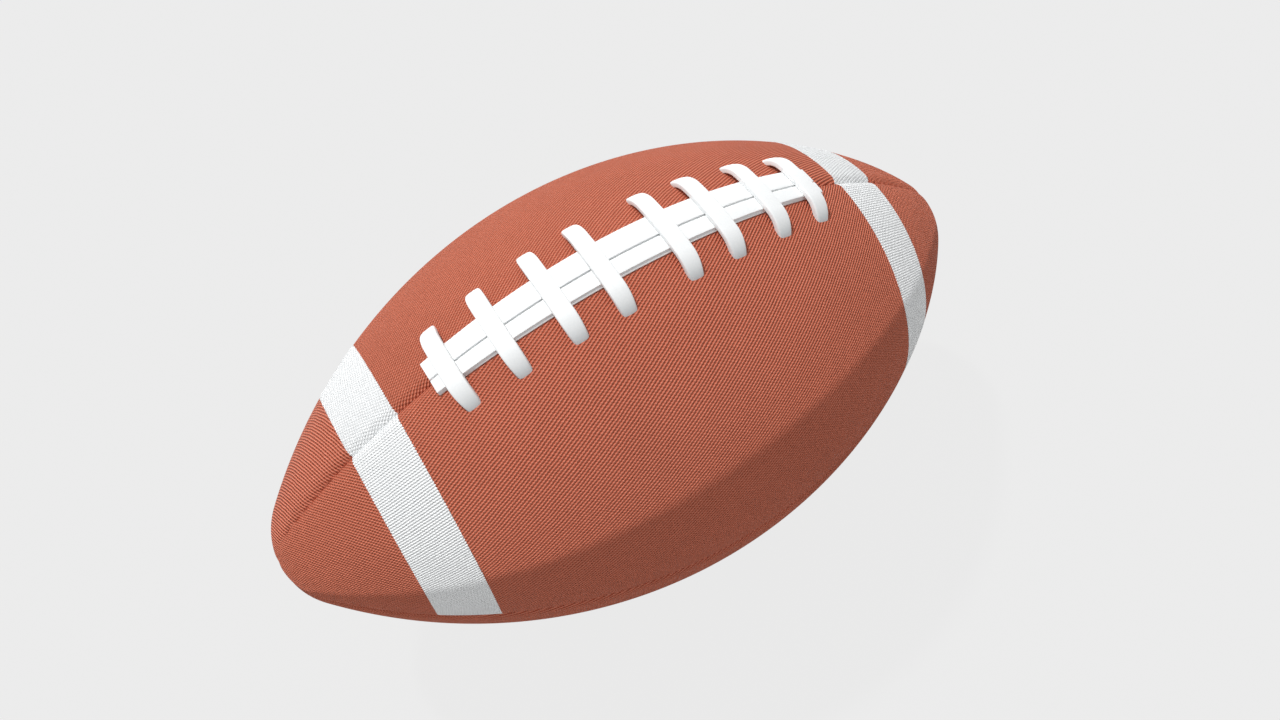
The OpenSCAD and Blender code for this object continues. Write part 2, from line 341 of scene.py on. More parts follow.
class Mesh:
    """Helpers that turn a bmesh into a finished piece of the ball."""

    @staticmethod
    def settle(bm: bmesh.types.BMesh, name: str) -> bpy.types.Mesh:
        """Turns a bmesh into mesh data.

        Args:
            bm: The bmesh. It is freed.
            name: Name of the data.

        Returns:
            The mesh data.
        """
        data = bpy.data.meshes.new(name)
        bm.to_mesh(data)
        bm.free()
        return data

    @staticmethod
    def spin(
        bm: bmesh.types.BMesh, geometry: list, centre: tuple, axis: tuple, angle: float, steps: int
    ) -> list:
        """Spins some geometry and joins the steps.

        Args:
            bm: The mesh that holds the geometry.
            geometry: What to spin.
            centre: A point on the axis.
            axis: Direction of the axis.
            angle: Angle of the whole spin.
            steps: Number of steps.

        Returns:
            The geometry of the last step.
        """
        result = bmesh.ops.spin(
            bm, geom=geometry, cent=centre, axis=axis, dvec=(0, 0, 0), angle=angle, steps=steps,
            use_merge=False, use_normal_flip=False, use_duplicate=False,
        )
        return result["geom_last"]

    @staticmethod
    def cut(bm: bmesh.types.BMesh, cutter: bmesh.types.BMesh) -> bmesh.types.BMesh:
        """Cuts one closed mesh out of another.

        Args:
            bm: The mesh to cut. It is freed.
            cutter: The mesh to take away. It is freed.

        Returns:
            What is left of the first mesh.
        """
        pieces = [placed("cut", Mesh.settle(source, "cut")) for source in (bm, cutter)]
        modifier = pieces[0].modifiers.new("cut", "BOOLEAN")
        modifier.operation, modifier.solver, modifier.object = "DIFFERENCE", "EXACT", pieces[1]
        graph = bpy.context.evaluated_depsgraph_get()
        result = bmesh.new()
        result.from_object(pieces[0], graph)
        for piece in pieces:
            data = piece.data
            bpy.data.objects.remove(piece)
            bpy.data.meshes.remove(data)
        return result

    @staticmethod
    def finish(
        bm: bmesh.types.BMesh, name: str, material: bpy.types.Material, slot: str,
        replaced: list[str], sharp: float = math.radians(50),
    ) -> None:
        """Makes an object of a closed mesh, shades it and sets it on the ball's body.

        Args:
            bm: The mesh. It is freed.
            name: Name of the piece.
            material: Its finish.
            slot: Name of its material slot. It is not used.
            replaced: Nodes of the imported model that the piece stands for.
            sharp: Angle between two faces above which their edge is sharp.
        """
        for face in bm.faces:
            face.smooth = True
        for edge in bm.edges:
            edge.smooth = edge.calc_face_angle(0.0) < sharp
        data = Mesh.settle(bm, name)
        piece = placed(name, data)
        data.materials.append(material)
        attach(piece, "root")
        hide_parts(*replaced)
        log.info("%s: %d faces", name, len(data.polygons))


@dataclass(frozen=True)
class Teeth:
    """The small teeth at the two ends of a coat, which follow the leather's pebbles.

    Attributes:
        height: Half of the height of a tooth.
        reach: How far they draw the coat's faces along, in half heights.
        pitch_mm: From tooth to tooth, on the flat leather.
        start_lean: How far the row at the coat's start is moved along, in pitches.
        end_lean: The same for the row at its end.
        uneven: Share of the height that changes along a row.
        uneven_rate: How fast it changes, in radians per millimetre.
        uneven_lean: How far a row's lean moves that change along, in radians per pitch.
    """

    height: float
    reach: float = 6.0
    pitch_mm: float = 1.13
    start_lean: float = 0.35
    end_lean: float = 0.8
    uneven: float = 0.3
    uneven_rate: float = 0.9
    uneven_lean: float = 7.0

    def shift(self, across_mm: float, from_start: float, from_end: float) -> float:
        """How far the teeth move a place towards the coat's end.

        Args:
            across_mm: Place across the flat leather, in millimetres.
            from_start: Distance of the place from the coat's start.
            from_end: Its distance from the coat's end.

        Returns:
            The move.
        """
        reach = self.reach * self.height
        near = max(1 - from_start / reach, 1 - from_end / reach, 0.0)
        lean = self.start_lean if from_start < from_end else self.end_lean
        wave = math.sin(2 * math.pi * (across_mm / self.pitch_mm + lean))
        change = math.sin(across_mm * self.uneven_rate + lean * self.uneven_lean)
        return self.height * wave * (1 - self.uneven + self.uneven * change) * near


@dataclass
class Cover:
    """The leather cover's surface: the outline with its seam valleys and the lace's dimples.

    Attributes:
        outline: The ball's outline.
        groove: The valley along each seam.
        lacing: The lacing, which draws the leather in at its holes.
        dimple_depth: Depth of the dimple at a lace hole.
        dimple_reach: How far a dimple reaches.
        dimple_flat: Half of the width of its flat middle, as a share of the lace's width.
        dimple_end: Place along the ball past which there are no dimples.
        dimple_angle: Angle from the top past which there are none.
        grain_pull: Power of the girth with which the grain narrows towards the tips.
    """

    outline: Outline
    groove: Groove
    lacing: LaceLayout
    dimple_depth: float = 0.3 * MM
    dimple_reach: float = 2.4 * MM
    dimple_flat: float = 0.35
    dimple_end: float = 90 * MM
    dimple_angle: float = 0.5
    grain_pull: float = 0.8

    @cached_property
    def holes(self) -> list[tuple[float, float]]:
        """Place along the ball and angle from the top of each pair of lace holes."""
        pairs = []
        for x in self.lacing.cross_places:
            inset = self.lacing.thickness / 2 / self.outline.girth(x)
            pairs.append((x, self.lacing.reach(self.outline, x) - inset))
        return pairs

    def dimple_at(self, x: float, r: float, around: float) -> float:
        """Depth of the dimples that the lace's legs press into the leather.

        Args:
            x: Place along the ball.
            r: Distance from its axis.
            around: Angle around it.

        Returns:
            The depth.
        """
        from_top = abs(around - math.pi / 2)
        if from_top > self.dimple_angle or abs(x) > self.dimple_end:
            return 0.0
        depth = 0.0
        for hole_x, hole_angle in self.holes:
            across = max(0.0, abs(x - hole_x) - self.lacing.width * self.dimple_flat)
            along = (from_top - hole_angle) * r
            depth += math.exp(-(across**2 + along**2) / self.dimple_reach**2)
        return self.dimple_depth * min(1.0, depth)

    def depth_at(self, turn: float, around: float, quarter: Quarter) -> float:
        """Depth of the leather's surface below the outline.

        Args:
            turn: Turn of the surface.
            around: Angle around the ball.
            quarter: The panel that the place is on.

        Returns:
            The depth.
        """
        place = self.outline.place(turn, 0.0)
        r = abs(place.y)
        offset = r * min(around - quarter.value, quarter.value + math.pi / 2 - around)
        depth = self.groove.depth_at(max(0.0, offset), self.outline.run(turn))
        if quarter in (Quarter.BACK_LACED, Quarter.FRONT_LACED):
            depth += self.dimple_at(place.x, r, around)
        return depth

    def grain(self, turn: float, around: float, quarter: Quarter) -> tuple[float, float]:
        """Place in the flat leather that a panel was cut from, in millimetres.

        Args:
            turn: Turn of the surface.
            around: Angle around the ball.
            quarter: The panel that the place is on.

        Returns:
            The place along the panel and the place across it.
        """
        r = abs(self.outline.place(turn, 0.0).y)
        stretch = (r / self.outline.radius) ** self.grain_pull * self.outline.radius
        across = (around - quarter.middle) * stretch
        return self.outline.run(turn) / MM, across / MM

    def shell(
        self, quarter: Quarter, from_turn: float, to_turn: float, facets: Facets,
        top: float, bottom: float, teeth: Teeth | None = None,
    ) -> bmesh.types.BMesh:
        """Makes one closed sheet of the cover, on one quarter of the ball.

        Args:
            quarter: The panel that it is or lies on.
            from_turn: Turn at which it starts.
            to_turn: Turn at which it ends.
            facets: How finely it is divided.
            top: Height of its outer face above the leather.
            bottom: Depth of its inner face below the outline.
            teeth: The small teeth at its two ends, if it has them.

        Returns:
            The mesh, lifted onto the ground.
        """
        bm = bmesh.new()
        self._meridian(bm, from_turn, to_turn, facets)
        bmesh.ops.rotate(
            bm, verts=bm.verts, cent=(0, 0, 0),
            matrix=Matrix.Rotation(quarter.value - math.pi / 2, 3, "X"),
        )
        Mesh.spin(
            bm, bm.verts[:] + bm.edges[:], (0, 0, 0), (1, 0, 0), math.pi / 2, facets.around
        )
        bmesh.ops.remove_doubles(bm, verts=bm.verts, dist=WELD)
        shell = bmesh.ops.extrude_face_region(bm, geom=bm.faces[:], use_keep_orig=True)
        inner = {item for item in shell["geom"] if isinstance(item, bmesh.types.BMVert)}
        grain = {}
        for vert in bm.verts:
            x, y, z = vert.co
            r = math.hypot(y, z)
            turn = self.outline.turn_of(x, r)
            share = self._share_around(y, z, quarter)
            share -= facets.crowding * math.sin(2 * math.pi * share) / (2 * math.pi)
            around = quarter.value + share * math.pi / 2
            grain[vert] = self.grain(turn, around, quarter)
            if teeth:
                radius = self.outline.belly_radius
                from_start, from_end = (turn - from_turn) * radius, (to_turn - turn) * radius
                turn += teeth.shift(grain[vert][1], from_start, from_end) / radius
            if vert in inner:
                vert.co = self.outline.place(turn, around, -bottom)
            else:
                height = top - self.depth_at(turn, around, quarter)
                vert.co = self.outline.place(turn, around, height)
        layer = bm.loops.layers.uv.new("grain")
        for face in bm.faces:
            for loop in face.loops:
                loop[layer].uv = grain[loop.vert]
        bmesh.ops.recalc_face_normals(bm, faces=bm.faces)
        bmesh.ops.translate(bm, verts=bm.verts, vec=(0, 0, self.outline.radius))
        return bm

    @staticmethod
    def _share_around(y: float, z: float, quarter: Quarter) -> float:
        """How far around its quarter a place lies, before the faces crowd.

        Args:
            y: Place from the ball's axis towards the back.
            z: Place from the axis towards the top.
            quarter: The panel that the place is on.

        Returns:
            A share from 0 to 1, and a half for a place on the axis.
        """
        if math.hypot(y, z) <= TINY:
            return 0.5
        share = ((math.atan2(z, y) - quarter.value) % (2 * math.pi)) / (math.pi / 2)
        # A place on the quarter's first edge can come out just short of a whole turn.
        return 0.0 if share > 3 else min(1.0, share)

    def _meridian(
        self, bm: bmesh.types.BMesh, from_turn: float, to_turn: float, facets: Facets
    ) -> None:
        """Draws the outline along the top of the ball, by spinning a point about its arcs.

        Args:
            bm: The mesh to draw in.
            from_turn: Turn at which it starts.
            to_turn: Turn at which it ends.
            facets: How finely each arc is divided.
        """
        outline = self.outline
        last = [bm.verts.new(outline.place(from_turn, math.pi / 2))]
        arcs = [
            (-outline.nose_x, 0.0, -math.pi / 2, -outline.shoulder, facets.nose),
            (0.0, outline.belly_z, -outline.shoulder, outline.shoulder, facets.along),
            (outline.nose_x, 0.0, outline.shoulder, math.pi / 2, facets.nose),
        ]
        for centre_x, centre_z, arc_from, arc_to, arc_steps in arcs:
            angle = min(arc_to, to_turn) - max(arc_from, from_turn)
            if angle > TINY:
                last = Mesh.spin(
                    bm, last, (centre_x, 0, centre_z), (0, 1, 0), angle, arc_steps
                )
                last = [item for item in last if isinstance(item, bmesh.types.BMVert)]


@dataclass
class Panels:
    """The four leather panels.

    Attributes:
        cover: The cover's surface.
        valve: The valve, which one panel has a hole for.
        thickness: Of the leather.
        facets: How finely a panel is divided.
        hole_steps: Faces around the hole for the valve.
        cutter_height: Height of the hole's cutter, in thicknesses of the leather.
    """

    cover: Cover
    valve: "Valve"
    thickness: float = 2.2 * MM
    facets: Facets = Facets(236, 112, 0.78)
    hole_steps: int = 64
    cutter_height: int = 4

    def build(self, leather: bpy.types.Material) -> None:
        """Makes each panel in place of its node.

        Args:
            leather: The panels' finish.
        """
        for quarter in Quarter:
            bm = self.cover.shell(
                quarter, -math.pi / 2, math.pi / 2, self.facets, 0.0, self.thickness
            )
            if quarter is Quarter.BACK_PLAIN:
                bm = self._pierced(bm)
            node = "panel_" + quarter.words
            Mesh.finish(bm, "leather_" + node, leather, "leather", [node])

    def _pierced(self, bm: bmesh.types.BMesh) -> bmesh.types.BMesh:
        """Cuts the round hole for the valve.

        Args:
            bm: The panel's mesh. It is freed.

        Returns:
            The panel's mesh with the hole.
        """
        cutter = bmesh.new()
        bmesh.ops.create_cone(
            cutter, cap_ends=True, cap_tris=False, segments=self.hole_steps,
            radius1=self.valve.hole_radius, radius2=self.valve.hole_radius,
            depth=self.cutter_height * self.thickness,
        )
        bmesh.ops.translate(cutter, verts=cutter.verts, vec=(0, 0, self.cover.outline.radius))
        cutter.transform(self.valve.stance(self.cover.outline))
        return Mesh.cut(bm, cutter)


@dataclass
class Stripes:
    """The white coats near the two tips, on the laced panels.

    Attributes:
        cover: The cover's surface.
        stand: How far a coat stands proud of the leather.
        root: How far it goes down into the leather.
        teeth: The small teeth at its edges.
        facets: How finely a coat is divided.
    """

    cover: Cover
    stand: float = 0.1 * MM
    root: float = 0.35 * MM
    teeth: Teeth = Teeth(0.2 * MM)
    facets: Facets = Facets(26, 420, 0.5)

    def build(self, coat: bpy.types.Material) -> None:
        """Makes the four coats in place of their nodes.

        Args:
            coat: The coats' finish.
        """
        outline = self.cover.outline
        for side in Side:
            for quarter in (Quarter.FRONT_LACED, Quarter.BACK_LACED):
                node = f"stripe_{side.value}_{quarter.side}"
                low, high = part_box(node)
                bm = self.cover.shell(
                    quarter, outline.turn_at(low.x), outline.turn_at(high.x), self.facets,
                    self.stand, self.bottom, self.teeth,
                )
                Mesh.finish(bm, "coat_" + node, coat, "stripe_coat", [node])

    @property
    def bottom(self) -> float:
        """Depth of a coat's underside below the outline."""
        return self.cover.groove.depth + self.cover.groove.crease_depth + self.root


@dataclass
class Lacing:
    """The lace's crosses and lengthwise runs on top of the ball.

    Attributes:
        cover: The cover that it is laced through.
        corner: Radius of the strip's long edges.
        crown: How much the middle of the strip bulges.
        tuck: How far each edge draws in where a cross turns into its hole.
        droop: How far each edge sinks there, as in a worn lace.
        droop_power: Power of the place across with which it sinks.
        grip_steps: Faces along half of the strip, over the runs.
        bend_steps: Faces along the bend into a hole.
        corner_steps: Faces around a long edge.
        width_steps: Faces across the strip.
        grey_from: Angle of the turn at which painted shade starts to darken a cross towards its hole.
        grey_to: Angle at which that painted shade is darkest.
        rail_corner: Radius of the edges of a lengthwise run.
        rail_lip: Width of the low lip along the front run's outer edge.
        rail_lip_height: Height at which the lip starts and at which it ends.
        rail_inset: Distance of a run's inner edge from the seam.
        rail_steps: Faces along a run and across it.
        rim_angle: Angle between two faces above which their edge is rounded.
    """

    cover: Cover
    corner: float = 0.5 * MM
    crown: float = 0.14 * MM
    tuck: float = 1.3 * MM
    droop: float = 1.6 * MM
    droop_power: int = 8
    grip_steps: int = 12
    bend_steps: int = 20
    corner_steps: int = 5
    width_steps: int = 10
    # Where the painted shade on a cross starts, and where it is darkest.
    grey_from: float = math.radians(27)
    grey_to: float = math.radians(50)
    rail_corner: float = 0.14 * MM
    rail_lip: float = 0.78 * MM
    rail_lip_height: tuple[float, float] = (1.03 * MM, 0.45 * MM)
    rail_inset: float = 0.31 * MM
    rail_steps: tuple[int, int] = (120, 6)
    rim_angle: float = math.radians(60)

    @property
    def layout(self) -> LaceLayout:
        """Where the lacing lies."""
        return self.cover.lacing

    def build(self, lace: bpy.types.Material) -> None:
        """Makes the eight crosses and the two lengthwise runs in place of their nodes.

        Args:
            lace: The lace's finish.
        """
        for index, x in enumerate(self.layout.cross_places, start=1):
            node = f"lace_cross_{index}"
            Mesh.finish(self._cross(x), "soft_" + node, lace, "lace", [node])
        for front in (True, False):
            node = "lace_rail_front" if front else "lace_rail_back"
            Mesh.finish(self._rail(node, front), "soft_" + node, lace, "lace", [node])

    def _cross(self, x: float) -> bmesh.types.BMesh:
        """Makes one cross with its legs, as half a strip that is mirrored.

        Args:
            x: Place of the cross along the ball.

        Returns:
            The closed mesh.
        """
        outline, layout = self.cover.outline, self.layout
        belly_turn = outline.turn_at(x)
        girth = outline.girth(x) / math.cos(belly_turn)
        inner = girth + layout.rail_thickness + layout.gap
        down = layout.turn_down(outline, x)
        bm = bmesh.new()
        self._section(bm, inner + layout.thickness / 2)
        ring = bm.verts[:] + bm.edges[:]
        ring = Mesh.spin(bm, ring, (0, 0, 0), (1, 0, 0), down, self.grip_steps)
        bend_from = inner - layout.bend
        centre = (0, -bend_from * math.sin(down), bend_from * math.cos(down))
        Mesh.spin(bm, ring, centre, (1, 0, 0), layout.bend_angle, self.bend_steps)
        self._tuck_in(bm, bend_from, down)
        bmesh.ops.mirror(
            bm, geom=bm.verts[:] + bm.edges[:] + bm.faces[:], matrix=Matrix.Identity(4),
            merge_dist=TINY, axis="Y",
        )
        bmesh.ops.remove_doubles(bm, verts=bm.verts, dist=TINY)
        rims = [edge for edge in bm.edges if edge.is_boundary]
        bmesh.ops.holes_fill(bm, edges=rims, sides=0)
        bmesh.ops.recalc_face_normals(bm, faces=bm.faces)
        lift = Matrix.Translation((0, 0, outline.radius + outline.belly_z))
        tilt = Matrix.Rotation(belly_turn, 4, "Y")
        out = Matrix.Translation((0, 0, outline.belly_radius - girth))
        back = Matrix.Rotation(-layout.cross_shift, 4, "X")
        bm.transform(lift @ tilt @ out @ back)
        return bm

    def _section(self, bm: bmesh.types.BMesh, height: float) -> None:
        """Draws the strip's section: a crowned rectangle with round corners.

        Args:
            bm: The mesh to draw in.
            height: Height of the section's middle above the origin.
        """
        width, thick = self.layout.width, self.layout.thickness
        bmesh.ops.create_grid(bm, x_segments=self.width_steps, y_segments=1, size=0.5)
        bmesh.ops.scale(bm, verts=bm.verts, vec=(width, thick, 1))
        bmesh.ops.dissolve_faces(bm, faces=bm.faces[:])
        corners = [v for v in bm.verts if abs(abs(v.co.x) - width / 2) < TINY]
        bmesh.ops.bevel(
            bm, geom=corners, offset=self.corner, offset_type="OFFSET",
            segments=self.corner_steps, profile=0.5, affect="VERTICES", material=-1,
            clamp_overlap=True,
        )
        bmesh.ops.delete(bm, geom=bm.faces[:], context="FACES_ONLY")
        for vert in bm.verts:
            share = 1 - (2 * vert.co.x / width) ** 2
            vert.co.y += math.copysign(self.crown, vert.co.y) * max(0.0, share)
        bmesh.ops.rotate(
            bm, verts=bm.verts, cent=(0, 0, 0), matrix=Matrix.Rotation(math.pi / 2, 3, "X")
        )
        bmesh.ops.translate(bm, verts=bm.verts, vec=(0, 0, height))

    def _tuck_in(self, bm: bmesh.types.BMesh, bend_from: float, down: float) -> None:
        """Draws a half cross in where it enters its hole, and marks where painted shade darkens it.

        Args:
            bm: The half cross, in its own frame.
            bend_from: Distance of the bend's centre from the frame's origin.
            down: Angle from the top at which the bend starts.
        """
        outwards = Vector((-math.sin(down), math.cos(down)))
        onwards = Vector((-math.cos(down), -math.sin(down)))
        grey = {}
        for vert in bm.verts:
            flat = Vector((vert.co.y, vert.co.z))
            local = flat - outwards * bend_from
            past, above = local.dot(onwards), local.dot(outwards)
            bent = math.atan2(past, above) if past > 0 else 0.0
            turned = 1 - math.cos(bent)
            sunk = self.droop * turned * (2 * vert.co.x / self.layout.width) ** self.droop_power
            flat -= sunk * (outwards * math.cos(bent) + onwards * math.sin(bent))
            across = vert.co.x * (1 - 2 * self.tuck / self.layout.width * turned)
            vert.co = (across, flat.x, flat.y)
            # Painted shade: the cross darkens towards blue-grey as it bends down into its hole.
            grey[vert] = (smooth(self.grey_from, self.grey_to, bent), 0.0)
        layer = bm.loops.layers.uv.new("grey")
        for face in bm.faces:
            for loop in face.loops:
                loop[layer].uv = grey[loop.vert]

    def _rail(self, node: str, front: bool) -> bmesh.types.BMesh:
        """Makes one lengthwise run as a flat strip, and bends it onto the ball.

        Args:
            node: The node that it stands for.
            front: Whether it is the run on the front side.

        Returns:
            The closed mesh.
        """
        outline, layout = self.cover.outline, self.layout
        low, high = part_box(node)
        inner = self.rail_inset
        span = layout.rail_front_angle if front else layout.rail_back_angle
        lip = self.rail_lip if front else 0.0
        outer = span * outline.radius - lip
        bm = bmesh.new()
        bmesh.ops.create_grid(
            bm, x_segments=self.rail_steps[0], y_segments=self.rail_steps[1], size=0.5
        )
        bmesh.ops.scale(bm, verts=bm.verts, vec=(high.x - low.x, outer - inner, 1))
        bmesh.ops.translate(
            bm, verts=bm.verts, vec=((high.x + low.x) / 2, (outer + inner) / 2, layout.gap)
        )
        top = bmesh.ops.extrude_face_region(bm, geom=bm.faces[:], use_keep_orig=True)
        raised = [item for item in top["geom"] if isinstance(item, bmesh.types.BMVert)]
        bmesh.ops.translate(bm, verts=raised, vec=(0, 0, layout.rail_thickness))
        bmesh.ops.recalc_face_normals(bm, faces=bm.faces)
        rims = [edge for edge in bm.edges if edge.calc_face_angle(0.0) > self.rim_angle]
        bmesh.ops.bevel(
            bm, geom=rims, offset=self.rail_corner, offset_type="OFFSET", segments=3,
            profile=0.5, affect="EDGES", material=-1, clamp_overlap=True,
        )
        for height in self.rail_lip_height:
            bmesh.ops.bisect_plane(
                bm, geom=bm.verts[:] + bm.edges[:] + bm.faces[:], dist=WELD,
                plane_co=(0, 0, layout.gap + height), plane_no=(0, 0, 1),
            )
        lip_top = layout.gap + sum(self.rail_lip_height) / 2
        for vert in bm.verts:
            x, y, z = vert.co
            if z < lip_top and y > outer - 1.5 * self.rail_corner:
                y += lip
            around = math.pi / 2 + (y if front else -y) / outline.radius
            vert.co = outline.place(outline.turn_at(x), around, z)
        bmesh.ops.recalc_face_normals(bm, faces=bm.faces)
        bmesh.ops.translate(bm, verts=bm.verts, vec=(0, 0, outline.radius))
        return bm


@dataclass(frozen=True)
class RoundEdge:
    """A rounded edge between a round wall and a flat face, with one corner in its middle.

    Attributes:
        across: How far it reaches along the face, below zero towards the axis.
        down: How far it reaches down the wall.
        middle: Place of its middle corner along the face and down the wall.
    """

    across: float
    down: float
    middle: tuple[float, float]

    def corners(self, radius: float, face: float) -> list[tuple[float, float]]:
        """Its corners, from the wall to the face.

        Args:
            radius: Radius of the wall.
            face: Height of the face.

        Returns:
            Radius and height of each corner.
        """
        across, down = self.middle
        middle = (radius + across, face - down)
        return [(radius, face - self.down), middle, (radius + self.across, face)]


@dataclass
class Valve:
    """The inflation valve on the underside: a rubber body with its core.

    Attributes:
        radius: Outer radius of the body.
        core_radius: Radius of the core.
        bore_radius: Radius of the bore for the needle.
        length: Of the body.
        core_length: Of the core.
        sink: Depth of the body's face below the leather.
        core_sink: Depth of the core's face below the body's.
        around: Angle around the ball at which it sits.
        hole_radius: Radius of the hole in the leather.
        rim: Outer edge of the body's face.
        mouth: Inner edge of the body's face.
        core_rim: Width of the chamfer around the core.
        core_mouth: Edge of the bore.
        steps: Faces around it.
        sharp: Angle between two faces above which their edge is sharp.
    """

    radius: float = 3.5 * MM
    core_radius: float = 2.1 * MM
    bore_radius: float = 1.0 * MM
    length: float = 15.0 * MM
    core_length: float = 11.0 * MM
    sink: float = 0.4 * MM
    core_sink: float = 0.5 * MM
    around: float = math.radians(315)
    hole_radius: float = 3.6 * MM
    rim: RoundEdge = RoundEdge(-0.5 * MM, 0.5 * MM, (-0.15 * MM, 0.13 * MM))
    mouth: RoundEdge = RoundEdge(0.5 * MM, 0.4 * MM, (0.13 * MM, 0.12 * MM))
    core_rim: float = 0.25 * MM
    core_mouth: RoundEdge = RoundEdge(0.45 * MM, 0.6 * MM, (0.12 * MM, 0.2 * MM))
    steps: int = 48
    sharp: float = math.radians(35)

    def build(self, outline: Outline, rubber: bpy.types.Material) -> None:
        """Makes the body and the core in place of their nodes.

        Args:
            outline: The ball's outline.
            rubber: The valve's finish.
        """
        face = outline.radius - self.sink
        body = [
            (self.core_radius, face - self.length),
            (self.radius, face - self.length),
            *self.rim.corners(self.radius, face),
            *reversed(self.mouth.corners(self.core_radius, face)),
        ]
        face -= self.core_sink
        core = [
            (self.bore_radius, face - self.core_length),
            (self.core_radius, face - self.core_length),
            (self.core_radius, face - self.core_rim),
            (self.core_radius - self.core_rim, face),
            *reversed(self.core_mouth.corners(self.bore_radius, face)),
        ]
        for name, section in (("valve_body", body), ("valve_core", core)):
            bm = self._turned(section)
            bm.transform(self.stance(outline))
            Mesh.finish(bm, "rubber_" + name, rubber, "valve_rubber", [name], self.sharp)

    def stance(self, outline: Outline) -> Matrix:
        """Turns what stands on the ball's top to the valve's place, on the lifted ball."""
        lean = Matrix.Rotation(self.around - math.pi / 2, 4, "X")
        return Matrix.Translation((0, 0, outline.radius)) @ lean

    def _turned(self, section: list[tuple[float, float]]) -> bmesh.types.BMesh:
        """Turns a closed section about Z.

        Args:
            section: Radius and height of each corner, in order.

        Returns:
            The closed mesh.
        """
        bm = bmesh.new()
        verts = [bm.verts.new((radius, 0, height)) for radius, height in section]
        edges = [bm.edges.new(pair) for pair in zip(verts, verts[1:] + verts[:1])]
        bmesh.ops.spin(
            bm, geom=verts + edges, cent=(0, 0, 0), axis=(0, 0, 1), dvec=(0, 0, 0),
            angle=2 * math.pi, steps=self.steps, use_merge=True, use_normal_flip=False,
            use_duplicate=False,
        )
        bmesh.ops.remove_doubles(bm, verts=bm.verts, dist=WELD)
        bmesh.ops.recalc_face_normals(bm, faces=bm.faces)
        return bm


